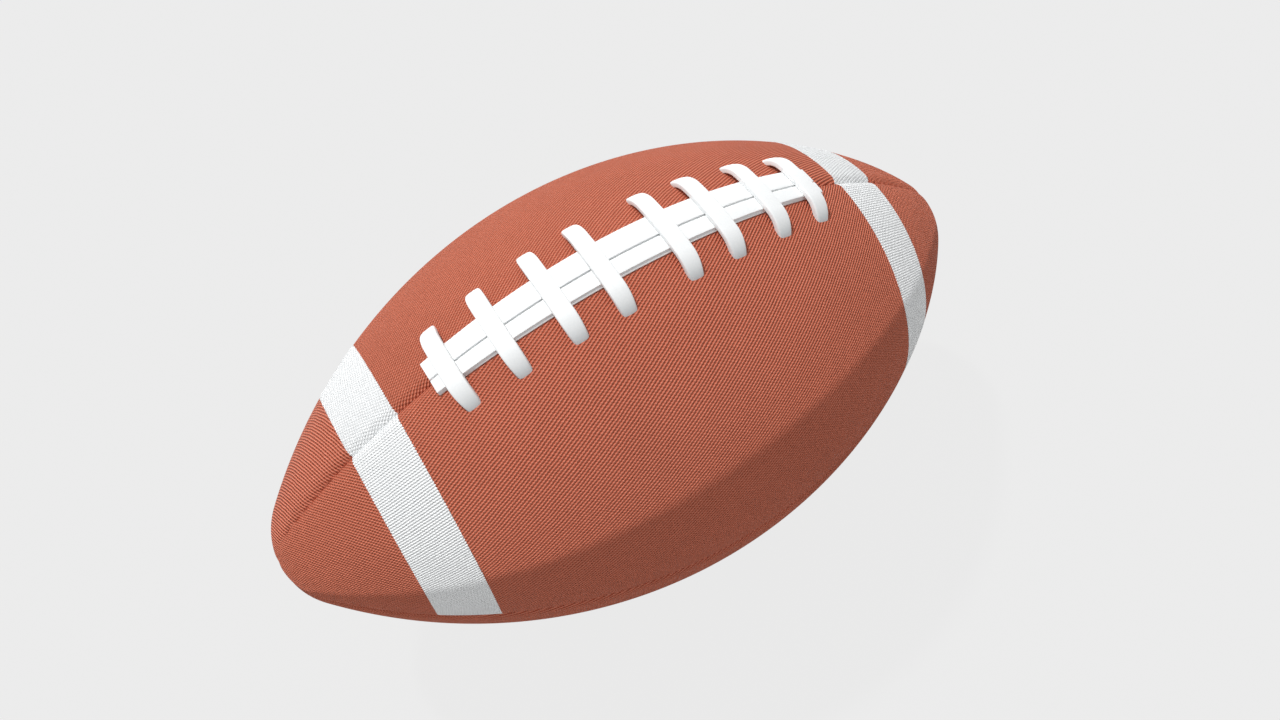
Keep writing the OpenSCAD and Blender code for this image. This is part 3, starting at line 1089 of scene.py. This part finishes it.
class Recipe:
    """Builds the nodes of one material."""

    def __init__(self, name: str) -> None:
        """Starts a material with a shader and nothing else.

        Args:
            name: Name of the material.
        """
        self.material = bpy.data.materials.new(name)
        self.material.use_nodes = True
        self.material.cycles.use_bump_map_correction = False
        self.tree = self.material.node_tree
        self.tree.nodes.clear()
        self.shader = self.tree.nodes.new("ShaderNodeBsdfPrincipled")
        output = self.tree.nodes.new("ShaderNodeOutputMaterial")
        self.tree.links.new(self.shader.outputs["BSDF"], output.inputs["Surface"])

    def put(self, socket: Socket, value: Socket | float | tuple) -> None:
        """Links a socket to another, or sets its value.

        Args:
            socket: The socket to feed.
            value: What to feed it with.
        """
        if isinstance(value, bpy.types.NodeSocket):
            self.tree.links.new(value, socket)
        else:
            socket.default_value = value

    def math(self, operation: str, first: Socket | float, second: Socket | float = 0.0) -> Socket:
        """Adds a Math node.

        Args:
            operation: What it does.
            first: Its first value.
            second: Its second value, if it needs one.

        Returns:
            The result.
        """
        node = self.tree.nodes.new("ShaderNodeMath")
        node.operation = operation
        self.put(node.inputs[0], first)
        self.put(node.inputs[1], second)
        return node.outputs[0]

    def blend(self, share: Socket, first: Socket, second: Socket) -> Socket:
        """Goes from one value to another as a share goes from 0 to 1.

        Args:
            share: The share of the second value.
            first: The value at 0.
            second: The value at 1.

        Returns:
            The blended value.
        """
        step = self.math("MULTIPLY", self.math("SUBTRACT", second, first), share)
        return self.math("ADD", first, step)

    def clamp(self, value: Socket) -> Socket:
        """Keeps a value from 0 to 1.

        Args:
            value: The value.

        Returns:
            The value within its limits.
        """
        node = self.tree.nodes.new("ShaderNodeClamp")
        self.put(node.inputs["Value"], value)
        return node.outputs[0]

    def map(self, name: str) -> Socket:
        """Reads one of the piece's own maps, which is zero where the piece has none.

        Args:
            name: Name of the map.

        Returns:
            The place on that map.
        """
        node = self.tree.nodes.new("ShaderNodeUVMap")
        node.uv_map = name
        return node.outputs["UV"]

    def place(self) -> Socket:
        """Place on the piece, in metres."""
        return self.tree.nodes.new("ShaderNodeTexCoord").outputs["Object"]

    def dot(self, vector: Socket, by: tuple[float, float]) -> Socket:
        """How far a place lies along a direction, times the direction's length.

        Args:
            vector: The place.
            by: The direction, in the first two axes.

        Returns:
            The product.
        """
        node = self.tree.nodes.new("ShaderNodeVectorMath")
        node.operation = "DOT_PRODUCT"
        self.put(node.inputs[0], vector)
        node.inputs[1].default_value = (by[0], by[1], 0.0)
        return node.outputs["Value"]

    def noise(self, vector: Socket, scale: float, detail: float = 2.0) -> Socket:
        """Adds a Noise texture and returns its value.

        Args:
            vector: Place at which it is read.
            scale: Cycles per unit of that place.
            detail: Number of finer layers.

        Returns:
            A value about 0.5.
        """
        node = self.tree.nodes.new("ShaderNodeTexNoise")
        self.put(node.inputs["Vector"], vector)
        node.inputs["Scale"].default_value = scale
        node.inputs["Detail"].default_value = detail
        return node.outputs["Fac"]

    def sway(self, value: Socket, low: float, high: float) -> Socket:
        """Spreads a value of 0.25 to 0.75 between two limits.

        Args:
            value: The value, such as that of a Noise texture.
            low: Its new lower limit.
            high: Its new upper limit.

        Returns:
            The new value.
        """
        node = self.tree.nodes.new("ShaderNodeMapRange")
        self.put(node.inputs["Value"], value)
        for name, limit in (("From Min", 0.25), ("From Max", 0.75), ("To Min", low), ("To Max", high)):
            node.inputs[name].default_value = limit
        return node.outputs[0]

    def ramp(self, value: Socket, stops: Stops) -> Socket:
        """Turns a value into a colour.

        Args:
            value: The value, from 0 to 1.
            stops: Place and colour of each stop, lowest first.

        Returns:
            The colour.
        """
        node = self.tree.nodes.new("ShaderNodeValToRGB")
        self.put(node.inputs[0], value)
        elements = node.color_ramp.elements
        while len(elements) < len(stops):
            elements.new(0.5)
        for element, (where, colour) in zip(elements, stops):
            element.position = where
            element.color = (*colour, 1.0)
        return node.outputs["Color"]

    def shade(self, colour: Socket, value: Socket) -> Socket:
        """Multiplies a colour by a value.

        Args:
            colour: The colour.
            value: The value.

        Returns:
            The new colour.
        """
        node = self.tree.nodes.new("ShaderNodeVectorMath")
        node.operation = "SCALE"
        self.put(node.inputs[0], colour)
        self.put(node.inputs["Scale"], value)
        return node.outputs["Vector"]

    def tint(self, colour: Socket, by: Socket) -> Socket:
        """Multiplies a colour by another.

        Args:
            colour: The colour.
            by: The other colour.

        Returns:
            The new colour.
        """
        node = self.tree.nodes.new("ShaderNodeVectorMath")
        node.operation = "MULTIPLY"
        self.put(node.inputs[0], colour)
        self.put(node.inputs[1], by)
        return node.outputs["Vector"]

    def bump(self, height: Socket, distance: float, under: Socket | None = None) -> Socket:
        """Turns a height into a normal.

        Args:
            height: The height, as a share of the distance.
            distance: Height of a full share.
            under: A normal to add it to.

        Returns:
            The normal.
        """
        node = self.tree.nodes.new("ShaderNodeBump")
        node.inputs["Distance"].default_value = distance
        self.put(node.inputs["Height"], height)
        if under is not None:
            self.put(node.inputs["Normal"], under)
        return node.outputs["Normal"]

    def set(self, **values: Socket | float | tuple) -> bpy.types.Material:
        """Sets inputs of the shader.

        Args:
            **values: Value or socket of each input, with underscores for spaces in its name.

        Returns:
            The material.
        """
        for name, value in values.items():
            if isinstance(value, tuple) and len(value) == 3:
                value = (*value, 1.0)
            self.put(self.shader.inputs[name.replace("_", " ")], value)
        return self.material


@dataclass(frozen=True)
class Mottle:
    """A soft, uneven change over a piece.

    Attributes:
        scale: Cycles per metre.
        low: Its lower limit.
        high: Its upper limit.
        detail: Number of finer layers.
    """

    scale: float
    low: float
    high: float
    detail: float = 2.0

    def value(self, recipe: Recipe, place: Socket) -> Socket:
        """Adds it to a material.

        Args:
            recipe: The material.
            place: Place on the piece.

        Returns:
            A value between its limits.
        """
        return recipe.sway(recipe.noise(place, self.scale, self.detail), self.low, self.high)


@dataclass(frozen=True)
class Pebbles:
    """The pebbled grain that is pressed into the leather: two crossed sets of ridges.

    Attributes:
        ridges: Direction and cycles per millimetre of the main ridges.
        crossing: The same of the ridges that cross them.
        crossing_share: Height of the crossing ridges, as a share of the main ones.
        joint_share: Height where both sets meet.
        mirrored: Whether the right half of the ball mirrors the left one.
        wander_mm: How far the pattern wanders from its grid.
        wander_rates: Cycles per millimetre of that wander, for each set of ridges.
    """

    ridges: tuple[float, float]
    crossing: tuple[float, float]
    crossing_share: float
    joint_share: float
    mirrored: bool = True
    wander_mm: float = 0.05
    wander_rates: tuple[float, float] = (0.16, 0.21)

    def height(self, recipe: Recipe) -> Socket:
        """Height of the grain, from 0 in the pits to 1 on the pebbles.

        Args:
            recipe: The material to add it to.

        Returns:
            The height.
        """
        place = recipe.map("grain")
        along, across = recipe.dot(place, (1.0, 0.0)), recipe.dot(place, (0.0, 1.0))
        if self.mirrored:
            along = recipe.math("MULTIPLY", recipe.math("ABSOLUTE", along), -1.0)
        phases = []
        for direction, rate in zip((self.ridges, self.crossing), self.wander_rates):
            reach = self.wander_mm * math.hypot(*direction) * 2
            shift = recipe.sway(recipe.noise(place, rate, 1.0), -reach, reach)
            cycles = recipe.math(
                "ADD", recipe.math("MULTIPLY", along, direction[0]),
                recipe.math("MULTIPLY", across, direction[1]),
            )
            cycles = recipe.math("ADD", cycles, shift)
            phases.append(recipe.math("MULTIPLY", cycles, 2 * math.pi))
        main = recipe.math("COSINE", phases[0])
        cross = recipe.math("COSINE", phases[1])
        joint = recipe.math("COSINE", recipe.math("ADD", phases[0], phases[1]))
        total = recipe.math("ADD", main, recipe.math("MULTIPLY", cross, self.crossing_share))
        total = recipe.math("ADD", total, recipe.math("MULTIPLY", joint, self.joint_share))
        span = 1 + self.crossing_share
        scaled = recipe.math("DIVIDE", recipe.math("ADD", total, span), 2 * span)
        return recipe.clamp(scaled)


@dataclass(frozen=True)
class LeatherFinish:
    """Tan pebbled leather with a satin face.

    Attributes:
        grain: Its pebbles between the stripes.
        tip_grain: Its pebbles beyond the stripes, on the front half.
        rear_tip_grain: The same on the back half.
        tip_from: Run from mid-length, in millimetres, at which the one turns into the other.
        rear_rate: How fast the front half's pebbles turn into the back half's, per metre.
        depth: Height of the pebbles.
        colours: From the pits over the flanks to the tops, each with its height. Beside the leather's
            own tone, the darker pits are partly painted shade and the paler tops partly painted
            highlight.
        blotches: Wide, faint change of the colour.
        flecks: Fine change of the colour.
        roughness: From the smooth places to the dull ones.
        pore_scale: Cycles of the pores per metre.
        pore_depth: Height of the pores.
        gloss: Strength of its reflections.
    """

    grain: Pebbles = Pebbles((0.469, 0.850), (0.615, -0.889), 0.45, 0.2, mirrored=False)
    tip_grain: Pebbles = Pebbles((-0.558, 0.711), (0.603, 0.959), 0.68, 0.2)
    rear_tip_grain: Pebbles = Pebbles((-1.04, 0.25), (-0.56, 0.71), 0.3, 0.0)
    tip_from: float = 97.0
    rear_rate: float = 4000.0
    depth: float = 0.64 * MM
    colours: Stops = (
        (0.10, (0.35, 0.062, 0.030)),
        (0.42, (0.605, 0.163, 0.095)),
        (0.85, (0.67, 0.230, 0.152)),
    )
    blotches: Mottle = Mottle(22, 0.95, 1.05, 3.0)
    flecks: Mottle = Mottle(900, 0.95, 1.05)
    roughness: Mottle = Mottle(300, 0.36, 0.48)
    pore_scale: float = 2600
    pore_depth: float = 0.012 * MM
    gloss: float = 0.06

    def make(self) -> bpy.types.Material:
        """Makes the material.

        Returns:
            The material.
        """
        recipe = Recipe("pebbled leather")
        place = recipe.place()
        height = self._height(recipe, place)
        mottle = recipe.math(
            "MULTIPLY", self.blotches.value(recipe, place), self.flecks.value(recipe, place)
        )
        pores = recipe.bump(recipe.noise(place, self.pore_scale), self.pore_depth)
        return recipe.set(
            # The colour by height is partly the leather's tone, and partly painted shade in the pits
            # and painted highlight on the tops.
            Base_Color=recipe.shade(recipe.ramp(height, self.colours), mottle),
            Roughness=self.roughness.value(recipe, place),
            Normal=recipe.bump(height, self.depth, pores),
            Specular_IOR_Level=self.gloss,
        )

    def _height(self, recipe: Recipe, place: Socket) -> Socket:
        """Height of the pebbles, which run another way beyond the stripes.

        Args:
            recipe: The material.
            place: Place on the piece.

        Returns:
            The height, from 0 to 1.
        """
        run = recipe.math("ABSOLUTE", recipe.dot(recipe.map("grain"), (1.0, 0.0)))
        tip = recipe.clamp(recipe.math("SUBTRACT", run, self.tip_from))
        rear = recipe.math("MULTIPLY", recipe.dot(place, (0.0, 1.0)), self.rear_rate)
        beyond = recipe.blend(
            recipe.clamp(rear), self.tip_grain.height(recipe), self.rear_tip_grain.height(recipe)
        )
        return recipe.blend(tip, self.grain.height(recipe), beyond)


@dataclass(frozen=True)
class CoatFinish:
    """White coat over the pebbled leather, whose pebbles show as rows of small pits, darkened with
    painted shade.

    Attributes:
        grain: The pebbles under it.
        depth: Height of the pebbles.
        colours: From the pits, painted darker and bluer as painted shade, to the coat's tops, each
            with its height.
        blotches: Wide, faint change of the colour.
        roughness: From the smooth places to the dull ones.
        gloss: Strength of its reflections.
    """

    grain: Pebbles = Pebbles((0.274, 1.020), (0.706, -0.823), 0.5, 0.5)
    depth: float = 0.45 * MM
    colours: Stops = ((0.08, (0.91, 0.935, 0.955)), (0.32, (0.965, 0.98, 0.985)))
    blotches: Mottle = Mottle(60, 0.975, 1.0, 3.0)
    roughness: Mottle = Mottle(500, 0.36, 0.46)
    gloss: float = 0.8

    def make(self) -> bpy.types.Material:
        """Makes the material.

        Returns:
            The material.
        """
        recipe = Recipe("white coat")
        place = recipe.place()
        height = self.grain.height(recipe)
        # Painted shade: the pits are darker and bluer than the coat's tops.
        colour = recipe.ramp(height, self.colours)
        return recipe.set(
            Base_Color=recipe.shade(colour, self.blotches.value(recipe, place)),
            Roughness=self.roughness.value(recipe, place),
            Normal=recipe.bump(height, self.depth),
            Specular_IOR_Level=self.gloss,
        )


@dataclass(frozen=True)
class LaceFinish:
    """Soft white lace with a fine grain, and painted shade where each cross bends into its hole.

    Attributes:
        colours: From its low places to the rest, each with its height.
        grey: Painted shade, the share of that colour that is left where a cross enters its hole.
        grain_scale: Cycles of its fine grain per metre.
        grain_depth: Height of that grain.
        soft_scale: Cycles of its soft waves per metre.
        soft_depth: Height of the waves.
        shade: Brightness from the low waves to the high ones.
        roughness: From the low waves to the high ones.
        gloss: Strength of its reflections.
    """

    colours: Stops = ((0.3, (0.885, 0.905, 0.91)), (0.6, (0.915, 0.93, 0.935)))
    grey: Colour = (0.78, 0.90, 0.94)
    grain_scale: float = 1500
    grain_depth: float = 0.008 * MM
    soft_scale: float = 160
    soft_depth: float = 0.03 * MM
    shade: tuple[float, float] = (0.985, 1.0)
    roughness: tuple[float, float] = (0.45, 0.57)
    gloss: float = 0.2

    def make(self) -> bpy.types.Material:
        """Makes the material.

        Returns:
            The material.
        """
        recipe = Recipe("white lace")
        place = recipe.place()
        grain = recipe.noise(place, self.grain_scale, 3.0)
        soft = recipe.noise(place, self.soft_scale)
        colour = recipe.ramp(grain, self.colours)
        colour = recipe.shade(colour, recipe.sway(soft, *self.shade))
        # Painted shade: the cross turns blue-grey as it bends down into its hole.
        painted_hole_shade = recipe.ramp(recipe.map("grey"), ((0.0, WHITE), (1.0, self.grey)))
        waves = recipe.bump(soft, self.soft_depth)
        return recipe.set(
            Base_Color=recipe.tint(colour, painted_hole_shade),
            Roughness=recipe.sway(soft, *self.roughness),
            Normal=recipe.bump(grain, self.grain_depth, waves),
            Specular_IOR_Level=self.gloss,
        )


@dataclass(frozen=True)
class PlainFinish:
    """A plain finish of an inner piece: cloth, thread, split leather or rubber.

    Attributes:
        name: Name of the material.
        low: Colour of its low places.
        high: Colour of its high places.
        scale: Cycles of its grain per metre.
        depth: Height of its grain.
        roughness: Of its smoothest places.
        woven: Whether its grain is a weave.
        axis_height: Height of the ball's axis, which the weave runs around.
        roughness_span: How much rougher its dullest places are.
        blotches: Wide, faint change of the colour.
    """

    name: str
    low: Colour
    high: Colour
    scale: float
    depth: float
    roughness: float
    woven: bool = False
    axis_height: float = Outline.diameter / 2
    roughness_span: float = 0.12
    blotches: Mottle = Mottle(40, 0.94, 1.04)

    def make(self) -> bpy.types.Material:
        """Makes the material.

        Returns:
            The material.
        """
        recipe = Recipe(self.name)
        place = recipe.place()
        height = self._weave(recipe, place) if self.woven else recipe.noise(place, self.scale, 3.0)
        colour = recipe.ramp(height, ((0.25, self.low), (0.75, self.high)))
        rough = Mottle(200, self.roughness, self.roughness + self.roughness_span)
        return recipe.set(
            Base_Color=recipe.shade(colour, self.blotches.value(recipe, place)),
            Roughness=rough.value(recipe, place),
            Normal=recipe.bump(height, self.depth),
        )

    def _weave(self, recipe: Recipe, place: Socket) -> Socket:
        """Height of a plain weave that runs along and around the ball.

        Args:
            recipe: The material.
            place: Place on the piece.

        Returns:
            The height, about 0.5.
        """
        split = recipe.tree.nodes.new("ShaderNodeSeparateXYZ")
        recipe.put(split.inputs[0], place)
        x, y, z = split.outputs
        around = recipe.math("ARCTAN2", recipe.math("SUBTRACT", z, self.axis_height), y)
        warp = recipe.math("SINE", recipe.math("MULTIPLY", x, 2 * math.pi * self.scale))
        turns = recipe.math("MULTIPLY", around, 2 * math.pi * self.scale * self.axis_height)
        weft = recipe.math("SINE", turns)
        return recipe.sway(recipe.math("MULTIPLY", warp, weft), 0.4, 0.6)


@dataclass
class Inside:
    """The inner pieces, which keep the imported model's shapes.

    Attributes:
        cloth: Finish of the linings.
        thread: Finish of the seams' threads.
        split: Finish of the facings and the guard.
        rubber: Finish of the bladder and its patch.
    """

    cloth: PlainFinish = PlainFinish(
        "lining cloth", (0.55, 0.50, 0.42), (0.74, 0.69, 0.60), 900, 0.15 * MM, 0.8, True
    )
    thread: PlainFinish = PlainFinish(
        "waxed thread", (0.66, 0.60, 0.46), (0.82, 0.77, 0.64), 2200, 0.08 * MM, 0.5
    )
    split: PlainFinish = PlainFinish(
        "split leather", (0.20, 0.07, 0.04), (0.30, 0.11, 0.065), 1300, 0.1 * MM, 0.75
    )
    rubber: PlainFinish = PlainFinish(
        "black rubber", (0.022, 0.022, 0.023), (0.035, 0.035, 0.036), 700, 0.03 * MM, 0.5
    )

    def dress(self, lace: bpy.types.Material) -> None:
        """Gives every inner node its finish.

        Args:
            lace: The lace's finish, for its runs inside the cover.
        """
        finishes = {
            "lining_": self.cloth.make(),
            "thread_": self.thread.make(),
            "lace_return_": lace,
            "lace_facing_": self.split.make(),
            "bladder": self.rubber.make(),
        }
        finishes["lace_guard"] = finishes["lace_facing_"]
        finishes["valve_patch"] = finishes["bladder"]
        for name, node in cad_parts.items():
            for start, finish in finishes.items():
                if name.startswith(start):
                    node.data.materials.clear()
                    node.data.materials.append(finish)
                    log.info("%s: %s", name, finish.name)


@dataclass(frozen=True)
class Lamp:
    """A distant light.

    Attributes:
        name: Its name.
        towards: Direction from the ball to the light.
        level: Brightness that it gives a white surface that faces it.
        spread: Its width as seen from the ball, in degrees.
    """

    name: str
    towards: Place
    level: float
    spread: float

    def light(self) -> None:
        """Puts it in the scene."""
        data = bpy.data.lights.new(self.name, "SUN")
        data.energy = self.level * math.pi
        data.angle = math.radians(self.spread)
        sun = placed(self.name, data)
        sun.rotation_mode = "QUATERNION"
        sun.rotation_quaternion = Vector(self.towards).to_track_quat("Z", "Y")


@dataclass(frozen=True)
class Studio:
    """The camera, the lights and the pale floor.

    Attributes:
        centre_height: Height of the middle of the ball.
        lens: Focal length in millimetres.
        sensor: Width of the sensor in millimetres.
        eye: Place of the camera from the middle of the ball.
        right: Direction of the picture's right side.
        up: Direction of its top.
        clip: Nearest and farthest distance that the camera sees.
        pale: Brightness of the floor in the picture.
        floor_grey: How much light the floor gives back to the ball.
        floor_plain: Share of the floor's look that is plain, with no shadow.
        floor_size: Half of the length of its sides.
        floor_drop: How far it lies below the ball.
        sky: Level of the even light.
        lamps: The light from above and the low one from behind.
    """

    centre_height: float
    lens: float = 28.105
    sensor: float = 36.0
    eye: Place = (-0.095939, -0.156425, 0.326286)
    right: Place = (0.84424, -0.53597, 0.0)
    up: Place = (0.4639, 0.73104, 0.50038)
    clip: tuple[float, float] = (0.01, 50.0)
    pale: float = 0.843
    floor_grey: float = 0.60
    floor_plain: float = 0.96
    floor_size: float = 8.0
    floor_drop: float = 0.1 * MM
    sky: float = 0.455
    lamps: tuple[Lamp, Lamp] = (
        Lamp("key light", (-0.19, 0.512, 0.838), 0.81, 4.0),
        Lamp("back light", (0.1, 0.98, 0.16), 0.22, 20.0),
    )

    def build(self) -> None:
        """Sets up everything round the ball."""
        self._camera()
        self._floor()
        self._world()
        for lamp in self.lamps:
            lamp.light()
        bpy.context.scene.view_settings.view_transform = "Standard"

    def _camera(self) -> None:
        """Sets the camera at the photograph's place."""
        data = bpy.data.cameras.new("camera")
        data.lens, data.sensor_width = self.lens, self.sensor
        data.clip_start, data.clip_end = self.clip
        camera = placed("camera", data)
        right, up = Vector(self.right).normalized(), Vector(self.up).normalized()
        turn = Matrix((right, up, right.cross(up))).transposed()
        eye = Vector((0.0, 0.0, self.centre_height)) + Vector(self.eye)
        camera.matrix_world = Matrix.Translation(eye) @ turn.to_4x4()
        bpy.context.scene.camera = camera

    def _floor(self) -> None:
        """Lays the pale floor, which shows plain and keeps a faint shadow."""
        bm = bmesh.new()
        bmesh.ops.create_grid(bm, x_segments=1, y_segments=1, size=self.floor_size)
        floor = placed("floor", Mesh.settle(bm, "floor"))
        floor.location.z = -self.floor_drop
        material = bpy.data.materials.new("pale floor")
        material.use_nodes = True
        nodes, links = material.node_tree.nodes, material.node_tree.links
        nodes.clear()
        matte = nodes.new("ShaderNodeBsdfDiffuse")
        matte.inputs["Color"].default_value = (*[self.floor_grey] * 3, 1.0)
        glow = nodes.new("ShaderNodeEmission")
        glow.inputs["Color"].default_value = (*WHITE, 1.0)
        glow.inputs["Strength"].default_value = self.pale
        share = nodes.new("ShaderNodeMath")
        share.operation = "MULTIPLY"
        share.inputs[1].default_value = self.floor_plain
        blend = nodes.new("ShaderNodeMixShader")
        output = nodes.new("ShaderNodeOutputMaterial")
        links.new(self._seen(material.node_tree), share.inputs[0])
        links.new(share.outputs[0], blend.inputs["Fac"])
        links.new(matte.outputs[0], blend.inputs[1])
        links.new(glow.outputs[0], blend.inputs[2])
        links.new(blend.outputs[0], output.inputs["Surface"])
        floor.data.materials.append(material)

    def _world(self) -> None:
        """Sets an even light from all around, and the floor's colour behind it."""
        world = bpy.data.worlds.new("studio")
        bpy.context.scene.world = world
        world.use_nodes = True
        nodes, links = world.node_tree.nodes, world.node_tree.links
        nodes.clear()
        blend = nodes.new("ShaderNodeMixShader")
        output = nodes.new("ShaderNodeOutputWorld")
        links.new(self._seen(world.node_tree), blend.inputs["Fac"])
        for entry, strength in enumerate((self.sky, self.pale), start=1):
            light = nodes.new("ShaderNodeBackground")
            light.inputs["Color"].default_value = (*WHITE, 1.0)
            light.inputs["Strength"].default_value = strength
            links.new(light.outputs[0], blend.inputs[entry])
        links.new(blend.outputs[0], output.inputs["Surface"])

    @staticmethod
    def _seen(tree: bpy.types.NodeTree) -> Socket:
        """Tells the rays that look at something from those that light it.

        Args:
            tree: The node tree to add it to.

        Returns:
            1 for rays from the camera, of a reflection or through something, and else 0.
        """
        ray = tree.nodes.new("ShaderNodeLightPath")
        seen = ray.outputs["Is Camera Ray"]
        for kind in ("Is Glossy Ray", "Is Transmission Ray"):
            either = tree.nodes.new("ShaderNodeMath")
            either.operation = "MAXIMUM"
            tree.links.new(seen, either.inputs[0])
            tree.links.new(ray.outputs[kind], either.inputs[1])
            seen = either.outputs[0]
        return seen


def main() -> None:
    """Builds the ball's pieces in order, dresses them and sets up the studio."""
    logging.basicConfig(level=logging.INFO, format="%(name)s: %(message)s")
    outline = Outline()
    cover = Cover(outline, Groove(), LaceLayout())
    leather = LeatherFinish().make()
    coat = CoatFinish().make()
    lace = LaceFinish().make()
    valve = Valve()
    Panels(cover, valve).build(leather)
    Stripes(cover).build(coat)
    Lacing(cover).build(lace)
    rubber = PlainFinish(
        "valve rubber", (0.045, 0.03, 0.026), (0.06, 0.043, 0.038), 900, 0.02 * MM, 0.45
    )
    valve.build(outline, rubber.make())
    Inside().dress(lace)
    Studio(outline.radius).build()
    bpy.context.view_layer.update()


if __name__ == "__main__":
    main()
